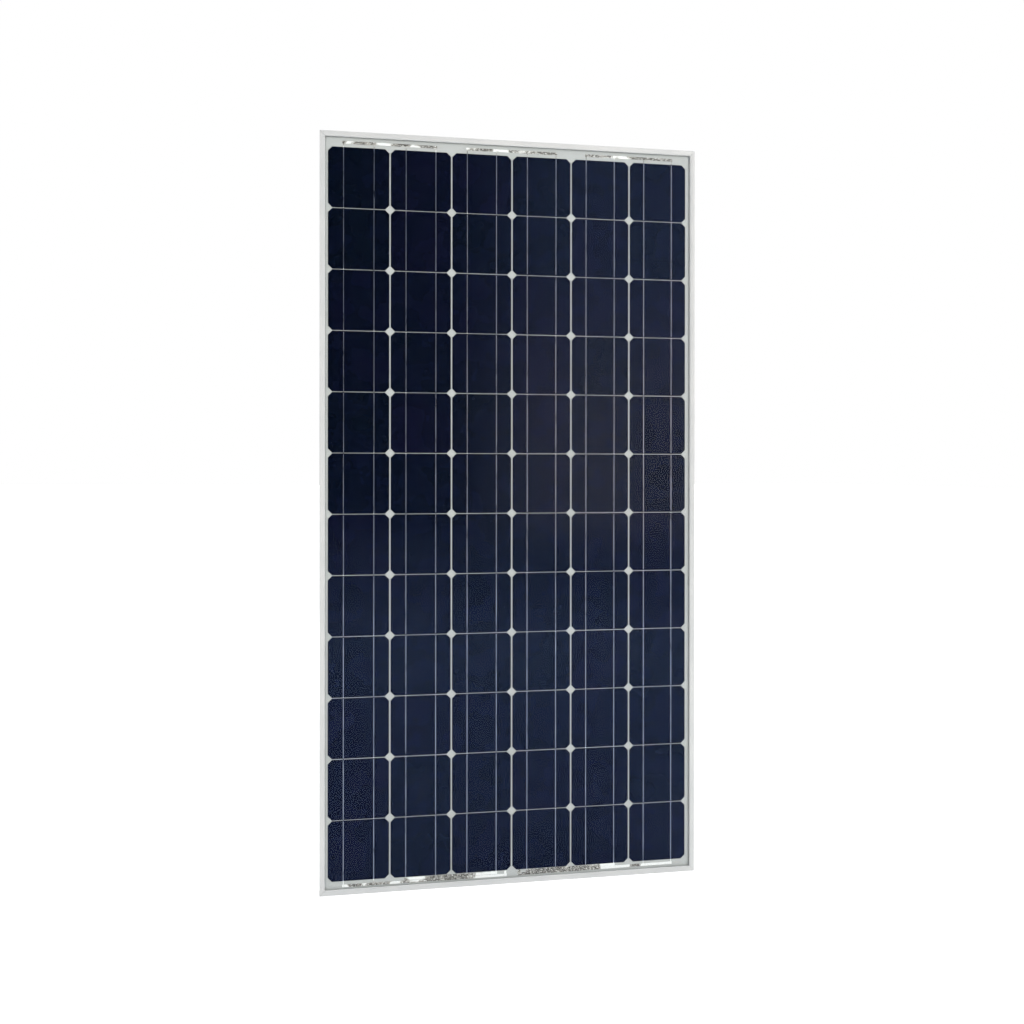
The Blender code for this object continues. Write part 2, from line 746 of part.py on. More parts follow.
def lid_latches(offset_z):
    """Two snap hooks that hang over the box's lower wall."""
    edge = -BOX_HEIGHT / 2 - offset_z
    plate_front = LID_FRONT - HINGE_Y + WELD / 2
    plate_back = LID_BACK - HINGE_Y - WELD / 2
    tip = plate_front - LATCH_LENGTH
    outline = [
        (plate_back, edge + 0.0015),
        (plate_back, edge - 0.0016),
        (plate_back - 0.0006, edge - 0.0022),
        (tip, edge - 0.0022),
        (tip, edge - 0.0012),
        (tip + 0.0012, edge - 0.0005),
        (tip + 0.0018, edge - 0.0005),
        (tip + 0.0022, edge - 0.0010),
        (plate_front, edge - 0.0010),
        (plate_front, edge + 0.0015),
    ]
    bm = bmesh.new()
    for low, high in mirrored_spans((LATCH_X - LATCH_WIDTH / 2, LATCH_X + LATCH_WIDTH / 2)):
        add_prism(bm, outline, low, high, axis="X")
    return bm


def build_box_lid(hinge):
    """The lid, whose own origin lies on the hinge axis."""
    shift = -HINGE_Z
    front = LID_FRONT - HINGE_Y
    back = LID_BACK - HINGE_Y
    plate = prism([(x, z + shift) for x, z in box_outline(0)], front, back)
    rear_edges = [edge for edge in plate.edges if all(v.co.y > back - 1e-6 for v in edge.verts)]
    bmesh.ops.bevel(plate, geom=rear_edges, offset=LID_EDGE_ROUND, segments=2, affect="EDGES")
    lid = add_part("junction_box_lid", plate, BLACK_PLASTIC, hinge, smooth=True)
    rib_inset = BOX_WALL + LID_RIB_CLEARANCE
    outer = [(x, z + shift) for x, z in box_outline(rib_inset)]
    inner = [(x, z + shift) for x, z in box_outline(rib_inset + LID_RIB_WALL)]
    fuse(lid, "lid_rib", ring(outer, inner, front - LID_RIB_DEPTH, front + WELD))
    fuse(lid, "lid_hinge_knuckles", lid_knuckles(HINGE_Z))
    fuse(lid, "lid_snap_latches", lid_latches(HINGE_Z))
    cut(lid, "lid_pin_holes", hinge_holes(LID_KNUCKLE, 0, 0))


def build_box_trim(box):
    """The bead that glues the box down, the lid's seal and the hinge pin."""
    outer = box_outline(ADHESIVE_INSET)
    inner = box_outline(ADHESIVE_INSET + ADHESIVE_WIDTH)
    foot = ring(outer, inner, LAYER_GAP, BOX_FOOT - 2 * LAYER_GAP)
    add_part("junction_box_adhesive", foot, WHITE_SILICONE, box)
    outer = box_outline(BOX_WALL - LEDGE_WIDTH + TOUCH_GAP)
    inner = box_outline(BOX_WALL - TOUCH_GAP / 3)
    seal = ring(outer, inner, SEAL_LEDGE + TOUCH_GAP, LID_FRONT - 4 * LAYER_GAP)
    add_part("junction_box_lid_seal", seal, BLACK_RUBBER, box)
    pin = prism(circle(0, 0, PIN_RADIUS, 12), -PIN_LENGTH / 2, PIN_LENGTH / 2, axis="X")
    add_part("lid_hinge_pin", pin, STEEL, box, location=(0, HINGE_Y, HINGE_Z), smooth=True)


def clamp_outline():
    """Side view of a leaf spring that presses a ribbon onto its terminal."""
    rest = TERMINAL_BACK + TOUCH_GAP
    press = TERMINAL_BACK + TAIL_THICKNESS + LAYER_GAP + TOUCH_GAP
    start = FEED_SLOT_Z + 0.010
    path = [
        (press + 0.0016, start),
        (press, start + 0.003),
        (press, start + 0.0045),
        (press + 0.0022, start + 0.008),
        (press + 0.0022, start + 0.0095),
        (rest, start + 0.012),
        (rest, start + 0.017),
    ]
    return strip_outline(reversed(path), CLAMP_THICKNESS)


def build_terminals(box):
    for index in range(4):
        centre, end = terminal_span(index)
        height = end - TERMINAL_START
        middle = (centre, (end + TERMINAL_START) / 2)
        plate = rounded_rectangle(TERMINAL_WIDTH, height, TERMINAL_CORNER, 2, middle)
        terminal = prism(plate, TERMINAL_FRONT, TERMINAL_BACK)
        add_part(f"terminal_{index + 1}", terminal, TINNED_COPPER, box)
        low = centre - CLAMP_WIDTH / 2
        clamp = prism(clamp_outline(), low, low + CLAMP_WIDTH, axis="X")
        add_part(f"ribbon_clamp_{index + 1}", clamp, STEEL, box)


def build_diodes(box):
    """Three diodes, each bridging two terminals with its bent leads."""
    inner_edge = LINK_TERMINAL_X - TERMINAL_WIDTH / 2 + DIODE_OVERLAP
    lead_edge = LEAD_TERMINAL_X + TERMINAL_WIDTH / 2 - DIODE_OVERLAP
    low_level = SHORT_TERMINAL_END - OUTER_DIODE_DROP
    high_level = LONG_TERMINAL_END - LONG_DIODE_DROP
    spans = (
        (-inner_edge, -lead_edge, low_level),
        (-inner_edge, inner_edge, high_level),
        (lead_edge, inner_edge, low_level),
    )
    landing = TERMINAL_BACK + TOUCH_GAP
    half = DIODE_LEAD / 2
    for index, (left, right, level) in enumerate(spans):
        start = (left + right - DIODE_LENGTH) / 2
        body = prism(circle(DIODE_Y, level, DIODE_RADIUS, 16), start, start + DIODE_LENGTH, axis="X")
        diode = add_part(f"bypass_diode_{index + 1}", body, BLACK_PLASTIC, box, smooth=True)
        wire = [
            (left - half, landing),
            (left + half, landing),
            (left + half, DIODE_Y - half),
            (right - half, DIODE_Y - half),
            (right - half, landing),
            (right + half, landing),
            (right + half, DIODE_Y + half),
            (left - half, DIODE_Y + half),
        ]
        fuse(diode, f"diode_leads_{index + 1}", prism(wire, level - half, level + half, axis="Z"))


# --------------------------------------------------------------- glands


def turned_ring(profile):
    """Turns a closed profile about X. Each point is (x, radius, shape), where the
    shape "hex" reads the radius as half the width across the flats."""
    bm = bmesh.new()
    loops = []
    for x, radius, shape in profile:
        loop = []
        for i in range(GLAND_SEGMENTS):
            angle = 2 * math.pi * i / GLAND_SEGMENTS
            reach = radius
            if shape == "hex":
                within = math.fmod(angle + math.pi / 6, math.pi / 3) - math.pi / 6
                reach = radius / math.cos(within)
            loop.append(bm.verts.new((x, reach * math.cos(angle), reach * math.sin(angle))))
        loops.append(loop)
    for i, loop in enumerate(loops):
        following = loops[(i + 1) % len(loops)]
        for a in range(GLAND_SEGMENTS):
            b = (a + 1) % GLAND_SEGMENTS
            bm.faces.new((loop[a], loop[b], following[b], following[a]))
    return bm


def gland_body_profile():
    return [
        (GLAND_INNER_END, GLAND_BORE, "round"),
        (GLAND_INNER_END, THREAD_RADIUS, "round"),
        (FLANGE_START, THREAD_RADIUS, "round"),
        (FLANGE_START, HEX_APOTHEM, "hex"),
        (FLANGE_END, HEX_APOTHEM, "hex"),
        (FLANGE_END, THREAD_RADIUS, "round"),
        (THREAD_END, THREAD_RADIUS, "round"),
        (THREAD_END, GROMMET_SEAT, "round"),
        (SEAT_START, GROMMET_SEAT, "round"),
        (SEAT_START, GLAND_BORE, "round"),
    ]


def gland_nut_profile():
    skirt = THREAD_RADIUS + THREAD_CLEARANCE
    return [
        (NUT_START, skirt, "round"),
        (NUT_START, HEX_APOTHEM, "hex"),
        (NUT_HEX_END, HEX_APOTHEM, "hex"),
        (NUT_HEX_END + 0.0004, HEX_APOTHEM - 0.0002, "round"),
        (NUT_END - 0.0040, 0.0069, "round"),
        (NUT_END - 0.0016, 0.0060, "round"),
        (NUT_END, 0.0048, "round"),
        (NUT_END, GLAND_BORE, "round"),
        (NUT_END - 0.0030, GLAND_BORE, "round"),
        (THREAD_END + 0.0010, skirt, "round"),
    ]


def locknut_profile():
    low, high = LOCKNUT_SPAN
    bore = THREAD_RADIUS + THREAD_CLEARANCE
    return [
        (low, bore, "round"),
        (low, HEX_APOTHEM, "hex"),
        (high, HEX_APOTHEM, "hex"),
        (high, bore, "round"),
    ]


def grommet_profile():
    outer = GROMMET_SEAT - TOUCH_GAP
    return [
        (SEAT_START + TOUCH_GAP, GROMMET_BORE, "round"),
        (SEAT_START + TOUCH_GAP, outer, "round"),
        (THREAD_END + 0.0004, outer, "round"),
        (THREAD_END + GROMMET_LIP, GROMMET_BORE + 0.0007, "round"),
        (THREAD_END + GROMMET_LIP, GROMMET_BORE, "round"),
    ]


def build_gland(box, side, sign):
    turn = 0.0 if sign > 0 else math.pi
    place_at = (sign * BOX_WIDTH / 2, GLAND_Y, GLAND_Z)
    axis = add_empty(f"gland_{side}_axis", place_at, (0, 0, turn), box)
    pieces = (
        ("body", gland_body_profile(), BLACK_PLASTIC),
        ("locknut", locknut_profile(), BLACK_PLASTIC),
        ("grommet", grommet_profile(), BLACK_RUBBER),
        ("nut", gland_nut_profile(), BLACK_PLASTIC),
    )
    for piece, profile, finish in pieces:
        add_part(f"gland_{side}_{piece}", turned_ring(profile), finish, axis, smooth=True)


def build_junction_box():
    box = add_empty("junction_box", (0, at_depth(BACKSHEET_BACK), BOX_CENTRE_Z))
    hinge = add_empty("lid_hinge_axis", (0, HINGE_Y, HINGE_Z), parent=box)
    build_box_base(box)
    build_box_lid(hinge)
    build_box_trim(box)
    build_terminals(box)
    build_diodes(box)
    build_gland(box, "left", -1)
    build_gland(box, "right", 1)


def build_label():
    outline = rounded_rectangle(LABEL_WIDTH, LABEL_HEIGHT, LABEL_CORNER, 3, (LABEL_X, LABEL_Z))
    front = BACKSHEET_BACK + LAYER_GAP
    plate = prism(outline, at_depth(front), at_depth(front + LABEL_THICKNESS))
    add_part("rating_label_blank", plate, LABEL_FILM)


def build_module():
    clear_scene()
    build_frame()
    build_corner_keys()
    build_edge_seal()
    build_sheets()
    build_cell_strings()
    build_bus_ribbons()
    build_junction_box()
    build_label()


build_module()
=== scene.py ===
import math

import bmesh
import bpy
import numpy as np
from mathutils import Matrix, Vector


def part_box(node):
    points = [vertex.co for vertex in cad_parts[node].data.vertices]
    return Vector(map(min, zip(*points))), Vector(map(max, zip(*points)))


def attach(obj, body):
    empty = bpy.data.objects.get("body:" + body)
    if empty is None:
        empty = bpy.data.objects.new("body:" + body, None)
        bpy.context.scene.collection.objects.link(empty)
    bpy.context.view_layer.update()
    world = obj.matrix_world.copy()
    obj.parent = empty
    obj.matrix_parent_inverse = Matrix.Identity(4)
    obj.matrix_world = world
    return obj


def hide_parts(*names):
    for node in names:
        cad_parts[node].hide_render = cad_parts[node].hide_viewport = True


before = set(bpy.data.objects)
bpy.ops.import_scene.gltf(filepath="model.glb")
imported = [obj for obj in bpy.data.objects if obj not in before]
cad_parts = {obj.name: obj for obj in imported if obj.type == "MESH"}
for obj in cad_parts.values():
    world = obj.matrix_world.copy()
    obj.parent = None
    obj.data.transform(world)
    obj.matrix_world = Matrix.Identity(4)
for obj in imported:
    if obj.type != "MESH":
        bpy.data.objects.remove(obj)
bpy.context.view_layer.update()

MM = 0.001
BODY = "module"
LID_BODY = "box_lid"
SEED = 7

# Wafers, and the silver fingers printed on them
COLUMNS = 6
ROWS = 12
CELL = 125 * MM
ROW_GAP = 2 * MM
WAFER_RADIUS = 82.5 * MM
WAFER_OVERSIZE = (0.45 * MM, 0.30 * MM)  # on each side, read from the width of the gaps
WAFER_JITTER = 0.12 * MM
FINGER_PITCH = 2.08 * MM
FINGER_WIDTH = 0.08 * MM
FINGER_HEIGHT = 0.015 * MM
FINGER_DEPTH = 0.02 * MM  # how far a finger is sunk in its wafer
FINGER_END_GAP = 1.2 * MM

# Ribbons soldered on the wafers
RIBBON_WIDTH = 1.5 * MM
RIBBON_THICKNESS = 0.13 * MM
RIBBON_STANDOFF = 0.15 * MM  # from the front of a CAD string to its wafers
RIBBON_REAR_GAP = 0.02 * MM
RIBBON_JITTER_X = 0.15 * MM
RIBBON_JITTER_Y = 0.02 * MM
RIBBON_STEPS = 10

# Bus ribbons in the margins
BUS_TO_FIELD = 7.6 * MM  # from the top links' lower edge to the cells
BUS_THICKNESS = 0.2 * MM
BUS_STEP = 2.6 * MM
BUS_JITTER = 0.10 * MM
TAIL_WIDTH = 5 * MM
TAIL_THICKNESS = 0.25 * MM
TERMINAL_OF = {
    "bus_link_bottom_2_3": 1,
    "bus_lead_string_1": 2,
    "bus_lead_string_6": 3,
    "bus_link_bottom_4_5": 4,
}

# Junction box
LID_PLATE_DEPTH = 2.7 * MM  # from the lid's seal to its outer face
RELIEF_SINK = 0.3 * MM
BORDER_SIZE = (104 * MM, 80 * MM)
BORDER_RADIUS = 7 * MM
GRIP_RIBS = 9
GRIP_RIB_SIZE = (2.2 * MM, 15 * MM)
GRIP_RIB_PITCH = 4.5 * MM
GRIP_RIB_DROP = 26 * MM  # below the middle of the lid
DIODE_RADIUS = 2.6 * MM
DIODE_HALF_LENGTH = 4.75 * MM
DIODE_WIRE_RADIUS = 0.55 * MM
DIODE_BEND = 1.6 * MM
EDGE_ANGLE = 30  # degrees: sharper edges are rounded

# Label
LABEL_BORDER_IN = 2.4 * MM
LABEL_BORDER_OUT = 3.2 * MM

# Share of the light that the coated glass reflects when seen straight on
GLASS_REFLECTION = 0.008

# Radiance of the studio, as the glass and the cells reflect it
UNLIT = (0.04, 0.045, 0.05)
SOFT_WHITE = (0.88, 0.90, 0.90)
WARM_PANEL = (2.15, 1.60, 1.15)
BACKDROP = (1.0, 1.0, 1.0)  # what the camera sees behind the module

# The floor's own light: for the camera, and for reflections near the module
FLOOR_GLOW_SEEN = 0.6
FLOOR_GLOW_REFLECTED = 0.20
FLOOR_GLOW_FROM_Y = -1.3
FLOOR_GLOW_TO_Y = -0.2
FLOOR_REACH = 30.0
FLOOR_FRONT = -12.0
FLOOR_DROP = 0.5 * MM

# The photo's viewpoint, solved from the grid of cells
CAMERA_LENS = 37.354
CAMERA_SHIFT = (-0.01779, -0.03944)
CAMERA_PLACE = (-0.3703, -2.2369, 0.8801)  # Y is counted from the front of the cells
CAMERA_TURN = (90 - 0.095, -0.048, -10.353)  # degrees

# Places read from the frame
STRING_BOXES = [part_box(f"cell_string_{column + 1}") for column in range(COLUMNS)]
GLASS_LOW, GLASS_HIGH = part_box("front_glass")
LINK_LOW, LINK_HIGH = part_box("bus_link_top_1_2")
ROW_PITCH = CELL + ROW_GAP
CELL_FRONT_Y = STRING_BOXES[0][0].y + RIBBON_STANDOFF
CELL_BACK_Y = STRING_BOXES[0][1].y
MIDDLE_Z = (GLASS_LOW.z + GLASS_HIGH.z) / 2
FIELD_TOP = LINK_LOW.z - BUS_TO_FIELD
BUS_WIDTH = LINK_HIGH.z - LINK_LOW.z


# ------------------------------------------------------------ node helpers


def new_material(name):
    material = bpy.data.materials.new(name)
    material.use_nodes = True
    tree = material.node_tree
    return material, tree, tree.nodes["Principled BSDF"]


def feed(tree, socket, value):
    """Links the socket to another one, or sets its own value."""
    if isinstance(value, bpy.types.NodeSocket):
        tree.links.new(value, socket)
    else:
        socket.default_value = value


def connect(tree, node, **inputs):
    """Feeds a node's inputs, which are named with underscores for spaces."""
    for key, value in inputs.items():
        feed(tree, node.inputs[key.replace("_", " ")], value)


def add_node(tree, kind, settings=None, **inputs):
    node = tree.nodes.new(kind)
    for key, value in (settings or {}).items():
        setattr(node, key, value)
    connect(tree, node, **inputs)
    return node


def place_coordinates(tree, scale=(1, 1, 1)):
    """Rest position in metres, stretched by scale."""
    source = add_node(tree, "ShaderNodeTexCoord").outputs["Object"]
    return add_node(tree, "ShaderNodeMapping", Vector=source, Scale=scale).outputs["Vector"]


def noise(tree, scale, detail=3.0, stretch=(1, 1, 1), roughness=0.5):
    node = add_node(
        tree,
        "ShaderNodeTexNoise",
        Vector=place_coordinates(tree, stretch),
        Scale=scale,
        Detail=detail,
        Roughness=roughness,
    )
    return node.outputs["Fac"]


def remap(tree, value, low, high, to_low=0.0, to_high=1.0, interpolation="LINEAR"):
    node = add_node(
        tree,
        "ShaderNodeMapRange",
        {"interpolation_type": interpolation},
        Value=value,
        From_Min=low,
        From_Max=high,
        To_Min=to_low,
        To_Max=to_high,
    )
    return node.outputs["Result"]


def smooth_step(tree, value, low, high, to_low=0.0, to_high=1.0):
    return remap(tree, value, low, high, to_low, to_high, "SMOOTHSTEP")


def calculate(tree, operation, first, *others):
    """Applies a Math operation from left to right to sockets and numbers."""
    result = first
    for value in others or (0.0,):
        node = add_node(tree, "ShaderNodeMath", {"operation": operation})
        feed(tree, node.inputs[0], result)
        feed(tree, node.inputs[1], value)
        result = node.outputs[0]
    return result


def mix_colours(tree, share, first, second):
    node = add_node(tree, "ShaderNodeMix", {"data_type": "RGBA"}, Factor=share)
    for socket, colour in ((node.inputs[6], first), (node.inputs[7], second)):
        feed(tree, socket, (*colour, 1.0) if isinstance(colour, tuple) else colour)
    return node.outputs[2]


def ramp(tree, value, stops):
    """A colour ramp through (position, colour) stops."""
    node = add_node(tree, "ShaderNodeValToRGB", Fac=value)
    elements = node.color_ramp.elements
    while len(elements) < len(stops):
        elements.new(0.5)
    for element, (position, colour) in zip(elements, stops):
        element.position = position
        element.color = (*colour, 1.0)
    return node.outputs["Color"]


def bump(tree, height, strength, distance, **under):
    """Adds relief; Normal may be given for the relief that it lies on."""
    node = add_node(
        tree, "ShaderNodeBump", Height=height, Strength=strength, Distance=distance, **under
    )
    return node.outputs["Normal"]


# --------------------------------------------------------------- materials


def anodised_material(name, stretch):
    """Clear-anodised extrusion: fine die lines along the rail and faint blotches."""
    material, tree, shader = new_material(name)
    lines = noise(tree, 1.0, 2.0, stretch)
    blotches = noise(tree, 14.0, 3.0)
    colour = ramp(tree, blotches, [(0.25, (0.565, 0.575, 0.575)), (0.75, (0.63, 0.635, 0.63))])
    connect(
        tree,
        shader,
        Base_Color=colour,
        Metallic=0.30,
        Roughness=remap(tree, lines, 0.3, 0.7, 0.40, 0.52),
        Normal=bump(tree, lines, 0.25, 0.02 * MM),
    )
    return material


def glass_material():
    """Low-iron glass with an anti-reflection coat: a pane with soft bluish reflections."""
    material, tree, shader = new_material("solar_glass_pane")
    tree.nodes.remove(shader)
    stipple = noise(tree, 900.0, 2.0)
    waves = noise(tree, 9.0, 2.0)
    fine = bump(tree, stipple, 0.02, 0.05 * MM)
    normal = bump(tree, waves, 0.15, 0.4 * MM, Normal=fine)
    clear = add_node(tree, "ShaderNodeBsdfTransparent", Color=(0.985, 0.992, 0.988, 1.0))
    gloss = add_node(
        tree,
        "ShaderNodeBsdfAnisotropic",
        Color=(0.50, 0.66, 1.0, 1.0),
        Roughness=0.10,
        Normal=normal,
    )
    slant = add_node(tree, "ShaderNodeLayerWeight", Blend=0.5).outputs["Facing"]
    steep = calculate(tree, "POWER", slant, 5.0)  # Schlick's rule for a reflection's share
    share = remap(tree, steep, 0.0, 1.0, GLASS_REFLECTION, 1.0)
    mix = add_node(tree, "ShaderNodeMixShader", Fac=share)
    tree.links.new(clear.outputs[0], mix.inputs[1])
    tree.links.new(gloss.outputs[0], mix.inputs[2])
    tree.links.new(mix.outputs[0], tree.nodes["Material Output"].inputs["Surface"])
    return material


def film_material():
    """Laminated clear film: it is seen only as a faint loss of light."""
    material, tree, shader = new_material("clear_film")
    tree.nodes.remove(shader)
    clouds = noise(tree, 6.0)
    tint = ramp(tree, clouds, [(0.3, (0.97, 0.97, 0.965)), (0.7, (0.985, 0.985, 0.985))])
    clear = add_node(tree, "ShaderNodeBsdfTransparent", Color=tint)
    tree.links.new(clear.outputs[0], tree.nodes["Material Output"].inputs["Surface"])
    return material


def cell_material():
    """Dark blue coated silicon: each wafer has its own tone, with soft clouds in it."""
    material, tree, shader = new_material("monocrystalline_silicon")
    tone = add_node(tree, "ShaderNodeAttribute", {"attribute_name": "tone"}).outputs["Fac"]
    clouds = noise(tree, 16.0, 3.0)
    shade = calculate(tree, "ADD", tone, remap(tree, clouds, 0.3, 0.7, -0.3, 0.3))
    teal, blue, violet = (0.0006, 0.0022, 0.0060), (0.0010, 0.0019, 0.0080), (0.0022, 0.0018, 0.0100)
    colour = ramp(tree, shade, [(0.0, teal), (0.5, blue), (1.0, violet)])
    connect(
        tree,
        shader,
        Base_Color=colour,
        Roughness=remap(tree, clouds, 0.2, 0.8, 0.22, 0.32),
        Specular_IOR_Level=0.5,
        Specular_Tint=(0.075, 0.14, 0.46, 1.0),
        Normal=bump(tree, noise(tree, 2600.0, 1.0), 0.02, 0.01 * MM),
    )
    return material


def silver_material():
    """Printed silver paste, grainy and slightly dull."""
    material, tree, shader = new_material("silver_paste")
    grain = noise(tree, 3000.0, 2.0)
    colour = ramp(tree, grain, [(0.3, (0.030, 0.038, 0.060)), (0.7, (0.060, 0.070, 0.100))])
    roughness = remap(tree, grain, 0, 1, 0.4, 0.6)
    connect(tree, shader, Base_Color=colour, Metallic=0.8, Roughness=roughness)
    return material


def ribbon_material():
    """Tinned copper ribbon, bluish under the film, duller in some stretches."""
    material, tree, shader = new_material("tinned_ribbon")
    flow = noise(tree, 1.0, 3.0, (500, 500, 30), 0.6)
    connect(
        tree,
        shader,
        Base_Color=ramp(tree, flow, [(0.34, (0.28, 0.315, 0.42)), (0.62, (0.43, 0.475, 0.62))]),
        Metallic=1.0,
        Roughness=remap(tree, flow, 0.2, 0.8, 0.24, 0.36),
        Normal=bump(tree, flow, 0.4, 0.02 * MM),
    )
    return material


def bus_material():
    """White flowed solder; its dark patches are painted shade in the crinkles' folds, here and there."""
    material, tree, shader = new_material("tinned_bus_ribbon")
    # Painted shade: the solder's colour goes grey, then dark, in the crinkles' folds, within patches picked
    # by noise.
    places = remap(tree, noise(tree, 22.0, 2.0), 0.44, 0.52, 0.0, 1.0)
    crinkles = noise(tree, 1.0, 4.0, (260, 260, 420), 0.65)
    fold_shade_mask = remap(tree, crinkles, 0.38, 0.54, 0.0, 1.0)
    painted_fold_shade = calculate(tree, "MULTIPLY", places, fold_shade_mask)
    white, grey, dark = (0.98, 0.98, 0.97), (0.40, 0.38, 0.35), (0.07, 0.065, 0.06)
    colour = ramp(tree, painted_fold_shade, [(0.0, white), (0.4, grey), (1.0, dark)])
    connect(
        tree,
        shader,
        Base_Color=colour,
        Metallic=0.10,
        Roughness=remap(tree, crinkles, 0.2, 0.8, 0.2, 0.4),
        Normal=bump(tree, crinkles, 0.6, 0.2 * MM),
    )
    return material


def backsheet_material():
    """White polymer film with a faint grain."""
    material, tree, shader = new_material("white_backsheet")
    patches = noise(tree, 5.0, 3.0)
    grain = noise(tree, 1400.0, 2.0)
    colour = ramp(tree, patches, [(0.3, (0.50, 0.51, 0.505)), (0.7, (0.53, 0.535, 0.53))])
    connect(
        tree,
        shader,
        Base_Color=colour,
        Roughness=remap(tree, grain, 0.2, 0.8, 0.48, 0.62),
        Normal=bump(tree, grain, 0.15, 0.03 * MM),
    )
    return material


def plastic_material(name, dark, light, rough, grain_scale=1800.0, strength=0.22):
    """Moulded plastic or rubber with a fine spark-eroded texture."""
    material, tree, shader = new_material(name)
    grain = noise(tree, grain_scale, 2.0)
    cloud = noise(tree, 30.0, 3.0)
    connect(
        tree,
        shader,
        Base_Color=ramp(tree, cloud, [(0.3, dark), (0.7, light)]),
        Roughness=remap(tree, cloud, 0.25, 0.75, rough - 0.06, rough + 0.06),
        Normal=bump(tree, grain, strength, 0.05 * MM),
    )
    return material


def metal_material(name, dark, light, rough, stretch=(60, 60, 900)):
    """Plain metal with fine rolling lines."""
    material, tree, shader = new_material(name)
    lines = noise(tree, 1.0, 3.0, stretch)
    connect(
        tree,
        shader,
        Base_Color=ramp(tree, lines, [(0.3, dark), (0.7, light)]),
        Metallic=1.0,
        Roughness=remap(tree, lines, 0.3, 0.7, rough - 0.07, rough + 0.07),
        Normal=bump(tree, lines, 0.3, 0.01 * MM),
    )
    return material


def label_material(low, high):
    """Blank satin film with a thin grey border."""
    material, tree, shader = new_material("blank_label")
    position = add_node(tree, "ShaderNodeSeparateXYZ", Vector=place_coordinates(tree))
    middle = (low + high) / 2
    reach = (high - low) / 2
    edges = []
    for axis, centre, half in (("X", middle.x, reach.x), ("Z", middle.z, reach.z)):
        offset = calculate(tree, "SUBTRACT", position.outputs[axis], centre)
        distance = calculate(tree, "ABSOLUTE", offset)
        edges.append(remap(tree, distance, half - LABEL_BORDER_OUT, half - LABEL_BORDER_IN))
    border = calculate(tree, "MAXIMUM", *edges)
    colour = ramp(tree, border, [(0.45, (0.70, 0.71, 0.71)), (0.55, (0.40, 0.42, 0.44))])
    roughness = remap(tree, noise(tree, 900.0), 0.2, 0.8, 0.32, 0.45)
    connect(tree, shader, Base_Color=colour, Roughness=roughness)
    return material


MATERIALS = {
    "rail_up": anodised_material("anodised_aluminium_upright", (700, 700, 3)),
    "rail_across": anodised_material("anodised_aluminium_across", (3, 700, 700)),
    "glass": glass_material(),
    "film": film_material(),
    "cell": cell_material(),
    "silver": silver_material(),
    "ribbon": ribbon_material(),
    "bus": bus_material(),
    "backsheet": backsheet_material(),
    "sealant": plastic_material("edge_sealant", (0.74, 0.74, 0.73), (0.80, 0.80, 0.79), 0.6, 500.0),
    "box": plastic_material("box_plastic", (0.012, 0.012, 0.013), (0.019, 0.019, 0.020), 0.44),
    "rubber": plastic_material("black_rubber", (0.009, 0.009, 0.009), (0.016, 0.016, 0.016), 0.75, 700.0),
    "silicone": plastic_material("white_silicone", (0.72, 0.72, 0.70), (0.80, 0.80, 0.78), 0.5, 260.0, 0.5),
    "diode": plastic_material("diode_epoxy", (0.014, 0.014, 0.015), (0.022, 0.022, 0.023), 0.35),
    "band": plastic_material("diode_band", (0.55, 0.56, 0.57), (0.66, 0.67, 0.68), 0.45),
    "terminal": metal_material("tin_plate", (0.62, 0.63, 0.64), (0.78, 0.78, 0.79), 0.3),
    "steel": metal_material("spring_steel", (0.45, 0.45, 0.46), (0.58, 0.58, 0.59), 0.3),
    "die_cast": plastic_material("die_cast_key", (0.42, 0.43, 0.44), (0.50, 0.51, 0.52), 0.5, 300.0),
    "label": label_material(*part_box("rating_label_blank")),
}


# ------------------------------------------------------------ mesh helpers


def finish_piece(obj, material, body, replaced=()):
    obj.data.materials.append(MATERIALS[material])
    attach(obj, body)
    if replaced:
        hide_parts(*replaced)
    return obj


def mesh_piece(name, vertices, faces):
    mesh = bpy.data.meshes.new(name)
    mesh.from_pydata(vertices, [], faces)
    mesh.update()
    obj = bpy.data.objects.new(name, mesh)
    bpy.context.scene.collection.objects.link(obj)
    return obj


def bmesh_piece(name, bm, sharp_deg=35):
    bmesh.ops.recalc_face_normals(bm, faces=bm.faces)
    mesh = bpy.data.meshes.new(name)
    bm.to_mesh(mesh)
    bm.free()
    mesh.shade_smooth()
    mesh.set_sharp_from_angle(angle=math.radians(sharp_deg))
    obj = bpy.data.objects.new(name, mesh)
    bpy.context.scene.collection.objects.link(obj)
    return obj


def rounded_copy(node, name, width):
    """A finer piece for a CAD node: the same solid with its edges rounded."""
    bm = bmesh.new()
    bm.from_mesh(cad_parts[node].data)
    bmesh.ops.remove_doubles(bm, verts=bm.verts, dist=1e-6)
    bmesh.ops.dissolve_limit(
        bm,
        angle_limit=math.radians(0.5),
        verts=bm.verts,
        edges=bm.edges,
        use_dissolve_boundaries=False,
    )
    obj = bmesh_piece(name, bm)
    bevel = obj.modifiers.new("rounded_edges", "BEVEL")
    bevel.width = width
    bevel.segments = 2
    bevel.limit_method = "ANGLE"
    bevel.angle_limit = math.radians(EDGE_ANGLE)
    bevel.harden_normals = True
    return obj


def add_box(vertices, faces, low, high):
    start = len(vertices)
    for x in (low[0], high[0]):
        for y in (low[1], high[1]):
            for z in (low[2], high[2]):
                vertices.append((x, y, z))
    for quad in ((0, 1, 3, 2), (4, 6, 7, 5), (0, 4, 5, 1), (2, 3, 7, 6), (0, 2, 6, 4), (1, 5, 7, 3)):
        faces.append(tuple(start + i for i in quad))


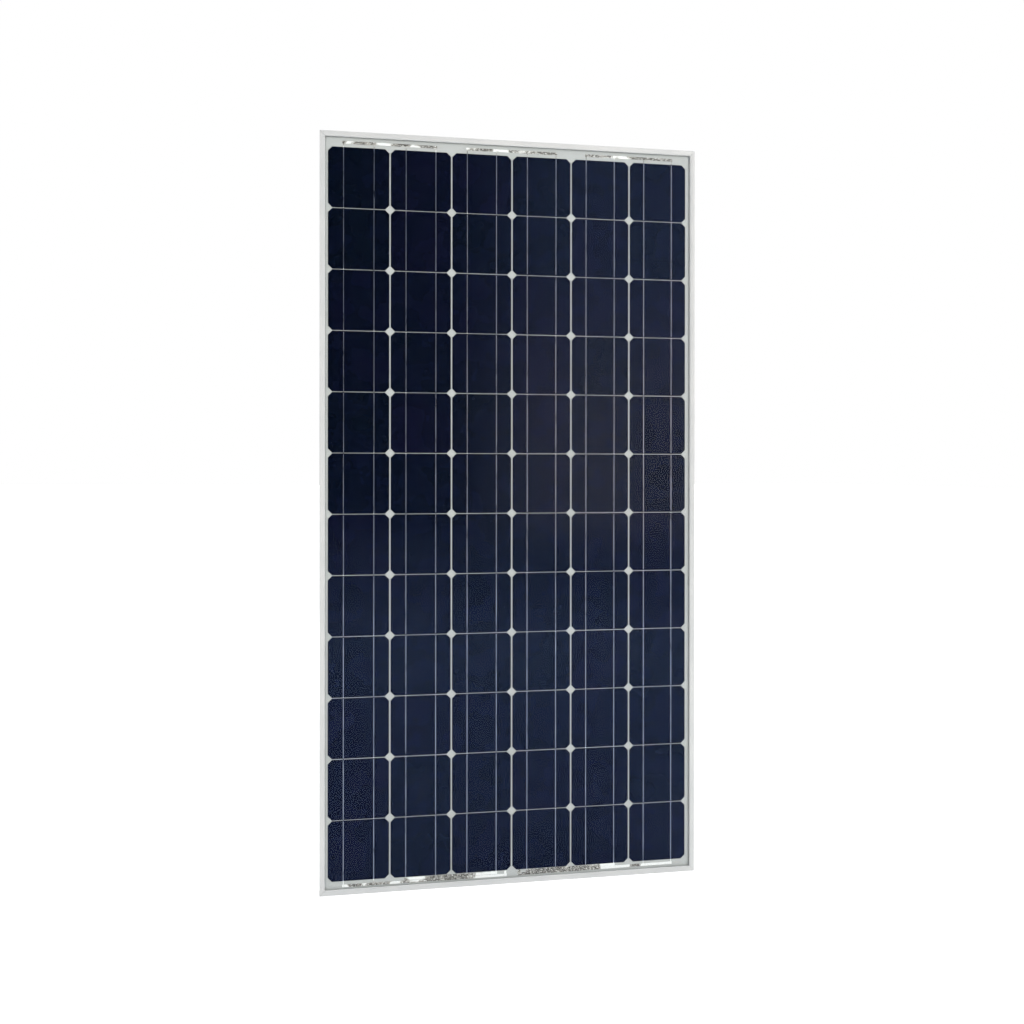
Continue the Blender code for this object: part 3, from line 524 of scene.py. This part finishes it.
def add_strip(bm, path, across, width, thickness, bright=None):
    """A flat strip along a path, `across` being the direction of its width. The
    stretches whose indices are in `bright` take the second material."""
    rings = []
    count = len(path)
    for i, point in enumerate(path):
        along = (path[min(i + 1, count - 1)] - path[max(i - 1, 0)]).normalized()
        normal = across.cross(along).normalized() * (thickness / 2)
        side = across * (width / 2)
        front = (point - side - normal, point + side - normal)
        back = (point + side + normal, point - side + normal)
        rings.append([bm.verts.new(corner) for corner in front + back])
    for i, (ring, following) in enumerate(zip(rings, rings[1:])):
        for a in range(4):
            b = (a + 1) % 4
            face = bm.faces.new((ring[a], ring[b], following[b], following[a]))
            face.material_index = 1 if bright and i in bright else 0
    bm.faces.new(rings[0][::-1])
    bm.faces.new(rings[-1])


def skin(bm, loops, capped=True):
    """Joins rings of vertices into a tube, closed at its ends if it is capped."""
    count = len(loops[0])
    for loop, following in zip(loops, loops[1:]):
        for a in range(count):
            b = (a + 1) % count
            bm.faces.new((loop[a], loop[b], following[b], following[a]))
    if capped:
        bm.faces.new(loops[0][::-1])
        bm.faces.new(loops[-1])


# ------------------------------------------------------- cells and ribbons


def column_x(column):
    low, high = STRING_BOXES[column]
    return (low.x + high.x) / 2


def row_z(row):
    """Centre of a row, counted from the bottom."""
    return FIELD_TOP - CELL / 2 - (ROWS - 1 - row) * ROW_PITCH


def half_reach(height):
    """Half the width of a wafer at a height from its centre."""
    return min(CELL / 2, math.sqrt(WAFER_RADIUS**2 - height**2))


def wafer_outline():
    """A square with the corners that are left when it is cut from a round wafer."""
    half_x = CELL / 2 + WAFER_OVERSIZE[0]
    half_z = CELL / 2 + WAFER_OVERSIZE[1]
    leg = CELL / 2 - math.sqrt(WAFER_RADIUS**2 - (CELL / 2) ** 2)
    upper_right = [(half_x, half_z - leg), (half_x - leg, half_z)]
    upper_left = [(-x, z) for x, z in reversed(upper_right)]
    lower = [(-x, -z) for x, z in upper_right + upper_left]
    return upper_right + upper_left + lower


def build_cells(column, random):
    """Twelve wafers; each carries its own tone as a face attribute."""
    outline = wafer_outline()
    count = len(outline)
    vertices, faces, tones = [], [], []
    for row in range(ROWS):
        centre_x = column_x(column) + random.uniform(-WAFER_JITTER, WAFER_JITTER)
        centre_z = row_z(row) + random.uniform(-WAFER_JITTER, WAFER_JITTER)
        start = len(vertices)
        for y in (CELL_FRONT_Y, CELL_BACK_Y):
            vertices += [(centre_x + x, y, centre_z + z) for x, z in outline]
        faces.append(tuple(start + i for i in range(count)))
        faces.append(tuple(start + count + i for i in reversed(range(count))))
        for i in range(count):
            j = (i + 1) % count
            faces.append((start + i, start + count + i, start + count + j, start + j))
        tones += [random.uniform(0.2, 0.8)] * (count + 2)
    obj = mesh_piece(f"wafers_{column + 1}", vertices, faces)
    attribute = obj.data.attributes.new("tone", "FLOAT", "FACE")
    attribute.data.foreach_set("value", np.array(tones, dtype=np.float32))
    return finish_piece(obj, "cell", BODY, (f"cell_string_{column + 1}",))


def build_fingers(column):
    """The fine silver lines printed across each wafer."""
    vertices, faces = [], []
    lines = int(CELL / FINGER_PITCH) - 1
    front = CELL_FRONT_Y - FINGER_HEIGHT
    back = CELL_FRONT_Y + FINGER_DEPTH
    for row in range(ROWS):
        for line in range(lines):
            height = (line - (lines - 1) / 2) * FINGER_PITCH
            reach = half_reach(abs(height)) - FINGER_END_GAP
            z = row_z(row) + height
            low = (column_x(column) - reach, front, z - FINGER_WIDTH / 2)
            high = (column_x(column) + reach, back, z + FINGER_WIDTH / 2)
            add_box(vertices, faces, low, high)
    obj = mesh_piece(f"fingers_{column + 1}", vertices, faces)
    return finish_piece(obj, "silver", BODY)


def ribbon_path(column, row, down, is_first, is_last, side, random):
    """The way of a ribbon from one wafer's front to the rear of the next, and the
    numbers of its stretches that leave the wafer. `down` is -1 or 1 along Z."""
    low, high = STRING_BOXES[column]
    string_end = high.z if down > 0 else low.z
    string_start = low.z if down > 0 else high.z
    front_y = CELL_FRONT_Y - RIBBON_THICKNESS / 2
    rear_y = CELL_BACK_Y + RIBBON_THICKNESS / 2 + RIBBON_REAR_GAP
    x = column_x(column) + side * CELL / 4 + random.uniform(-RIBBON_JITTER_X, RIBBON_JITTER_X)
    start_inset = 0 if is_first else 1.5 * MM
    near = row_z(row) - down * (CELL / 2 - start_inset)
    far = row_z(row) + down * (CELL / 2 - 0.6 * MM)
    path = []
    for i in range(RIBBON_STEPS + 1):
        y = front_y + random.uniform(-RIBBON_JITTER_Y, RIBBON_JITTER_Y)
        path.append(Vector((x, y, near + (far - near) * i / RIBBON_STEPS)))
    if is_last:
        path.append(Vector((x, front_y, string_end)))
    else:
        path.append(Vector((x, front_y, far + down * 0.5 * MM)))
        path.append(Vector((x, rear_y, far + down * 2.6 * MM)))
        path.append(Vector((x, rear_y, far + down * 12 * MM)))
    if is_first:
        path.insert(0, Vector((x, front_y, string_start)))
        return path, {0, RIBBON_STEPS + 1, RIBBON_STEPS + 2, RIBBON_STEPS + 3}
    return path, {RIBBON_STEPS, RIBBON_STEPS + 1, RIBBON_STEPS + 2}


def build_string_ribbons(column, random):
    """Two ribbons per wafer. The stretches that leave it are coated with bright solder."""
    down = -1 if column % 2 == 0 else 1
    order = list(range(ROWS))[::down]
    bm = bmesh.new()
    for side in (-1, 1):
        for row in order:
            is_first, is_last = row == order[0], row == order[-1]
            path, leaving = ribbon_path(column, row, down, is_first, is_last, side, random)
            add_strip(bm, path, Vector((1, 0, 0)), RIBBON_WIDTH, RIBBON_THICKNESS, leaving)
    obj = bmesh_piece(f"string_ribbons_{column + 1}", bm)
    finish_piece(obj, "ribbon", BODY)
    obj.data.materials.append(MATERIALS["bus"])
    return obj


def crinkled_bus(bm, start, end, random):
    """A bus ribbon laid by hand, never quite flat."""
    length = (end - start).length
    steps = max(6, int(length / BUS_STEP))
    path = []
    for i in range(steps + 1):
        point = start.lerp(end, i / steps)
        point.y += random.uniform(-BUS_JITTER, BUS_JITTER)
        path.append(point)
    along = (end - start).normalized()
    across = Vector((-along.z, 0, along.x))
    add_strip(bm, path, across, BUS_WIDTH, BUS_THICKNESS)


def tail_path(tail_x, foot, top_z):
    """From a bus ribbon's back, up behind the cells, out into the box and along a
    terminal. `foot` is the place where it leaves the ribbon."""
    terminal_low, terminal_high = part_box("terminal_1")
    behind = CELL_BACK_Y + 0.38 * MM
    feed_z = terminal_low.z - 6.0 * MM
    landing = terminal_high.y + 0.2 * MM
    return [
        Vector((tail_x, foot.y, foot.z)),
        Vector((tail_x, behind, foot.z + 3 * MM)),
        Vector((tail_x, behind, feed_z - 1.2 * MM)),
        Vector((tail_x, behind + 0.5 * MM, feed_z - 0.3 * MM)),
        Vector((tail_x, behind + 1.6 * MM, feed_z)),
        Vector((tail_x, landing - 1.2 * MM, feed_z)),
        Vector((tail_x, landing - 0.4 * MM, feed_z + 0.4 * MM)),
        Vector((tail_x, landing, feed_z + 1.4 * MM)),
        Vector((tail_x, landing, top_z)),
    ]


def build_bus(node, start_z, end_z, random):
    """A bus ribbon; start_z and end_z are the heights of its middle line."""
    low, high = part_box(node)
    start = Vector((low.x, (LINK_LOW.y + LINK_HIGH.y) / 2, start_z))
    end = Vector((high.x, start.y, end_z))
    bm = bmesh.new()
    crinkled_bus(bm, start, end, random)
    if node in TERMINAL_OF:
        terminal_low, terminal_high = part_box(f"terminal_{TERMINAL_OF[node]}")
        tail_x = (terminal_low.x + terminal_high.x) / 2
        foot = start.lerp(end, (tail_x - low.x) / (high.x - low.x))
        foot.y += BUS_THICKNESS
        path = tail_path(tail_x, foot, high.z)
        add_strip(bm, path, Vector((1, 0, 0)), TAIL_WIDTH, TAIL_THICKNESS)
    obj = bmesh_piece(node + "_strip", bm, 12)
    return finish_piece(obj, "bus", BODY, (node,))


def build_bus_ribbons(random):
    """Level links at the top; at the bottom the two on the right rise slightly."""
    for node in ("bus_link_top_1_2", "bus_link_top_3_4", "bus_link_top_5_6"):
        low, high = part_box(node)
        middle = (low.z + high.z) / 2
        build_bus(node, middle, middle, random)
    rises = {
        "bus_lead_string_1": 0.0,
        "bus_link_bottom_2_3": 0.0,
        "bus_link_bottom_4_5": 1.0 * MM,
        "bus_lead_string_6": 2.2 * MM,
    }
    for node, rise in rises.items():
        start_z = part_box(node)[0].z + BUS_WIDTH / 2
        build_bus(node, start_z, start_z + rise, random)


# ------------------------------------------------------------------- build


def build_frame_pieces():
    directions = {"left": "rail_up", "right": "rail_up", "top": "rail_across", "bottom": "rail_across"}
    for side, material in directions.items():
        rail = rounded_copy(f"frame_rail_{side}", f"rail_{side}", 0.25 * MM)
        finish_piece(rail, material, BODY, (f"frame_rail_{side}",))


def build_encapsulant():
    """Both films have flowed into one clear layer around the cells."""
    low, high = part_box("front_encapsulant")
    corners = [(low.x, low.z), (high.x, low.z), (high.x, high.z), (low.x, high.z)]
    sheet = mesh_piece("encapsulant", [(x, low.y, z) for x, z in corners], [(0, 1, 2, 3)])
    finish_piece(sheet, "film", BODY, ("front_encapsulant", "rear_encapsulant"))


def repaint(node, material):
    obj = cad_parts[node]
    obj.data.materials.clear()
    obj.data.materials.append(MATERIALS[material])


def repaint_frame_nodes():
    kept = {
        "front_glass": "glass",
        "backsheet": "backsheet",
        "lead_insulator": "backsheet",
        "edge_seal": "sealant",
        "rating_label_blank": "label",
        "junction_box_adhesive": "silicone",
        "junction_box_lid_seal": "rubber",
        "lid_hinge_pin": "steel",
    }
    for node, material in kept.items():
        repaint(node, material)
    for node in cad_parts:
        if node.startswith("corner_key"):
            repaint(node, "die_cast")


def rounded_loop(width, height, radius, centre, y, steps=6):
    """Points of a rounded rectangle that faces the rear."""
    points = []
    for quarter, (sx, sz) in enumerate(((1, 1), (-1, 1), (-1, -1), (1, -1))):
        for i in range(steps + 1):
            angle = math.radians(90) * (quarter + i / steps)
            x = centre[0] + sx * (width / 2 - radius) + radius * math.cos(angle)
            z = centre[1] + sz * (height / 2 - radius) + radius * math.sin(angle)
            points.append((x, y, z))
    return points


def add_relief(bm, size, radius, centre, y, profile, capped):
    """Raises a moulded shape from a flat face; profile lists (inset, rise)."""
    loops = []
    for inset, rise in profile:
        width, height = size[0] - 2 * inset, size[1] - 2 * inset
        outline = rounded_loop(width, height, max(radius - inset, 0.2 * MM), centre, y + rise)
        loops.append([bm.verts.new(point) for point in outline])
    skin(bm, loops, capped)


def build_lid_relief():
    """A raised border and a row of grip ribs moulded on the lid."""
    low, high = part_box("junction_box_lid_seal")
    centre = ((low.x + high.x) / 2, (low.z + high.z) / 2)
    plate_back = high.y + LID_PLATE_DEPTH
    bm = bmesh.new()
    border = [(0, -RELIEF_SINK), (0.4 * MM, 0.8 * MM), (2.4 * MM, 0.8 * MM), (2.8 * MM, -RELIEF_SINK)]
    add_relief(bm, BORDER_SIZE, BORDER_RADIUS, centre, plate_back, border, capped=False)
    rib = [(0, -RELIEF_SINK), (0.35 * MM, 0.7 * MM), (0.6 * MM, 0.9 * MM)]
    for number in range(GRIP_RIBS):
        offset = (number - (GRIP_RIBS - 1) / 2) * GRIP_RIB_PITCH
        place = (centre[0] + offset, centre[1] - GRIP_RIB_DROP)
        add_relief(bm, GRIP_RIB_SIZE, GRIP_RIB_SIZE[0] / 2, place, plate_back, rib, capped=True)
    obj = bmesh_piece("lid_border_and_ribs", bm)
    return finish_piece(obj, "box", LID_BODY)


def add_turned(bm, profile, centre, segments=40):
    """A solid turned about X; profile lists (x, radius) from end to end."""
    loops = []
    for x, radius in profile:
        loop = []
        for i in range(segments):
            angle = 2 * math.pi * i / segments
            offset = (x, radius * math.cos(angle), radius * math.sin(angle))
            loop.append(bm.verts.new(centre + Vector(offset)))
        loops.append(loop)
    skin(bm, loops)


def add_wire(bm, path, radius, segments=12):
    """A round wire along a path that stays in an XY plane."""
    loops = []
    count = len(path)
    for i, point in enumerate(path):
        along = (path[min(i + 1, count - 1)] - path[max(i - 1, 0)]).normalized()
        side = Vector((-along.y, along.x, 0))
        loop = []
        for j in range(segments):
            angle = 2 * math.pi * j / segments
            outward = side * math.cos(angle) + Vector((0, 0, math.sin(angle)))
            loop.append(bm.verts.new(point + radius * outward))
        loops.append(loop)
    skin(bm, loops)


def build_diode(number):
    """A banded diode whose round leads bend down to two terminals."""
    node = f"bypass_diode_{number}"
    low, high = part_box(node)
    radius, half = DIODE_RADIUS, DIODE_HALF_LENGTH
    centre = Vector(((low.x + high.x) / 2, high.y - radius, (low.z + high.z) / 2))

    bm = bmesh.new()
    end = [(-half, radius - 0.5 * MM), (-half + 0.15 * MM, radius - 0.15 * MM), (-half + 0.5 * MM, radius)]
    add_turned(bm, end + [(-x, r) for x, r in reversed(end)], centre)
    finish_piece(bmesh_piece(f"diode_body_{number}", bm), "diode", BODY, (node,))

    bm = bmesh.new()
    inside, outside = radius - 0.2 * MM, radius + 0.05 * MM
    start, stop = 2.4 * MM, 3.8 * MM
    add_turned(bm, [(start, inside), (start, outside), (stop, outside), (stop, inside)], centre)
    finish_piece(bmesh_piece(f"diode_band_{number}", bm), "band", BODY)

    bm = bmesh.new()
    reach = (high.x - low.x) / 2 - DIODE_WIRE_RADIUS
    for sign in (-1, 1):
        path = [centre + Vector((sign * (half - 1 * MM), 0, 0))]
        for i in range(7):
            angle = math.radians(15 * i)
            x = reach - DIODE_BEND + DIODE_BEND * math.sin(angle)
            y = -DIODE_BEND + DIODE_BEND * math.cos(angle)
            path.append(centre + Vector((sign * x, y, 0)))
        path.append(Vector((centre.x + sign * reach, low.y, centre.z)))
        add_wire(bm, path, DIODE_WIRE_RADIUS)
    finish_piece(bmesh_piece(f"diode_leads_{number}", bm), "terminal", BODY)


def build_box_pieces():
    rounded = [
        ("junction_box_base", "box_base", 0.4 * MM, BODY),
        ("junction_box_lid", "box_lid_shell", 0.4 * MM, LID_BODY),
    ]
    for side in ("left", "right"):
        rounded += [
            (f"gland_{side}_body", f"gland_collar_{side}", 0.25 * MM, BODY),
            (f"gland_{side}_locknut", f"gland_ring_{side}", 0.25 * MM, BODY),
            (f"gland_{side}_nut", f"gland_dome_{side}", 0.3 * MM, f"gland_nut_{side}"),
        ]
        repaint(f"gland_{side}_grommet", "rubber")
    for node, name, width, body in rounded:
        finish_piece(rounded_copy(node, name, width), "box", body, (node,))
    build_lid_relief()
    for number in range(1, 5):
        terminal = rounded_copy(f"terminal_{number}", f"terminal_plate_{number}", 0.12 * MM)
        finish_piece(terminal, "terminal", BODY, (f"terminal_{number}",))
        clamp = rounded_copy(f"ribbon_clamp_{number}", f"clamp_leaf_{number}", 0.08 * MM)
        finish_piece(clamp, "steel", BODY, (f"ribbon_clamp_{number}",))
    for number in range(1, 4):
        build_diode(number)


def build_stage():
    """A pale floor that reaches far behind the module and ends in front of it."""
    left, right, back = -FLOOR_REACH, FLOOR_REACH, 2 * FLOOR_REACH
    corners = [(left, FLOOR_FRONT, 0), (right, FLOOR_FRONT, 0), (right, back, 0), (left, back, 0)]
    floor = mesh_piece("floor", corners, [(0, 1, 2, 3)])
    material, tree, shader = new_material("pale_floor")
    colour = ramp(tree, noise(tree, 0.4), [(0.3, (0.74, 0.74, 0.74)), (0.7, (0.76, 0.76, 0.76))])
    connect(tree, shader, Base_Color=colour, Roughness=0.9, Specular_IOR_Level=0.1)
    depth = add_node(tree, "ShaderNodeSeparateXYZ", Vector=place_coordinates(tree)).outputs["Y"]
    near = smooth_step(tree, depth, FLOOR_GLOW_FROM_Y, FLOOR_GLOW_TO_Y, 0.0, FLOOR_GLOW_REFLECTED)
    camera_ray = add_node(tree, "ShaderNodeLightPath").outputs["Is Camera Ray"]
    seen = remap(tree, camera_ray, 0, 1, 0, FLOOR_GLOW_SEEN)
    glow = calculate(tree, "MAXIMUM", near, seen)
    connect(tree, shader, Emission_Color=(1, 1, 1, 1), Emission_Strength=glow)
    floor.data.materials.append(material)
    floor.location.z = -FLOOR_DROP


def build_world():
    """A soft white studio. Behind the camera it is unlit on the left and warmly lit
    on the right, which is what the glass and the cells reflect."""
    world = bpy.data.worlds.new("studio")
    bpy.context.scene.world = world
    world.use_nodes = True
    tree = world.node_tree
    background = tree.nodes["Background"]
    direction = add_node(tree, "ShaderNodeTexCoord").outputs["Generated"]
    axes = add_node(tree, "ShaderNodeSeparateXYZ", Vector=direction).outputs
    right = smooth_step(tree, axes["X"], 0.10, 0.233)
    not_far_right = smooth_step(tree, axes["X"], 0.38, 0.50, 1.0, 0.0)
    sideways = smooth_step(tree, axes["Y"], -0.75, -0.35)
    overhead = smooth_step(tree, axes["Z"], 0.35, 0.75)
    fading_up = smooth_step(tree, axes["Z"], 0.02, 0.20, 1.0, 0.08)
    low_down = smooth_step(tree, axes["Z"], 0.30, 0.45, 1.0, 0.0)
    in_front = smooth_step(tree, axes["Y"], -0.60, -0.40, 1.0, 0.0)
    lit = calculate(tree, "MAXIMUM", right, sideways, overhead)
    warm = calculate(tree, "MULTIPLY", right, not_far_right, low_down, fading_up, in_front)
    soft = mix_colours(tree, lit, UNLIT, SOFT_WHITE)
    seen_in_gloss = mix_colours(tree, warm, soft, WARM_PANEL)
    camera_ray = add_node(tree, "ShaderNodeLightPath").outputs["Is Camera Ray"]
    colour = mix_colours(tree, camera_ray, seen_in_gloss, BACKDROP)
    tree.links.new(colour, background.inputs["Color"])


def add_light(name, location, size, power, in_gloss=False):
    """A round soft light aimed at the middle of the module."""
    light = bpy.data.lights.new(name, "AREA")
    light.shape = "DISK"
    light.size = size
    light.energy = power
    obj = bpy.data.objects.new(name, light)
    bpy.context.scene.collection.objects.link(obj)
    obj.location = location
    aim = Vector((0, 0, MIDDLE_Z)) - Vector(location)
    obj.rotation_euler = aim.to_track_quat("-Z", "Y").to_euler()
    obj.visible_glossy = in_gloss


def build_lights():
    """Two lights in front, which the glass doesn't mirror, and one behind."""
    add_light("key_light", location=(1.7, -3.9, 2.4), size=2.2, power=92)
    add_light("fill_light", location=(-2.0, -3.6, 1.4), size=2.4, power=44)
    add_light("rear_light", location=(0.8, 3.4, 2.8), size=2.6, power=75, in_gloss=True)


def build_camera():
    """The viewpoint: a little to the left of the module, turned towards it."""
    data = bpy.data.cameras.new("camera")
    data.lens = CAMERA_LENS
    data.shift_x, data.shift_y = CAMERA_SHIFT
    camera = bpy.data.objects.new("camera", data)
    bpy.context.scene.collection.objects.link(camera)
    x, y, z = CAMERA_PLACE
    camera.location = (x, y + CELL_FRONT_Y, z)
    camera.rotation_euler = [math.radians(angle) for angle in CAMERA_TURN]
    bpy.context.scene.camera = camera


def build_scene():
    random = np.random.default_rng(SEED)
    build_camera()
    build_frame_pieces()
    build_encapsulant()
    repaint_frame_nodes()
    for column in range(COLUMNS):
        build_cells(column, random)
        build_fingers(column)
        build_string_ribbons(column, random)
    build_bus_ribbons(random)
    build_box_pieces()
    build_stage()
    build_world()
    build_lights()
    bpy.context.scene.view_settings.view_transform = "Standard"


build_scene()
bpy.context.view_layer.update()
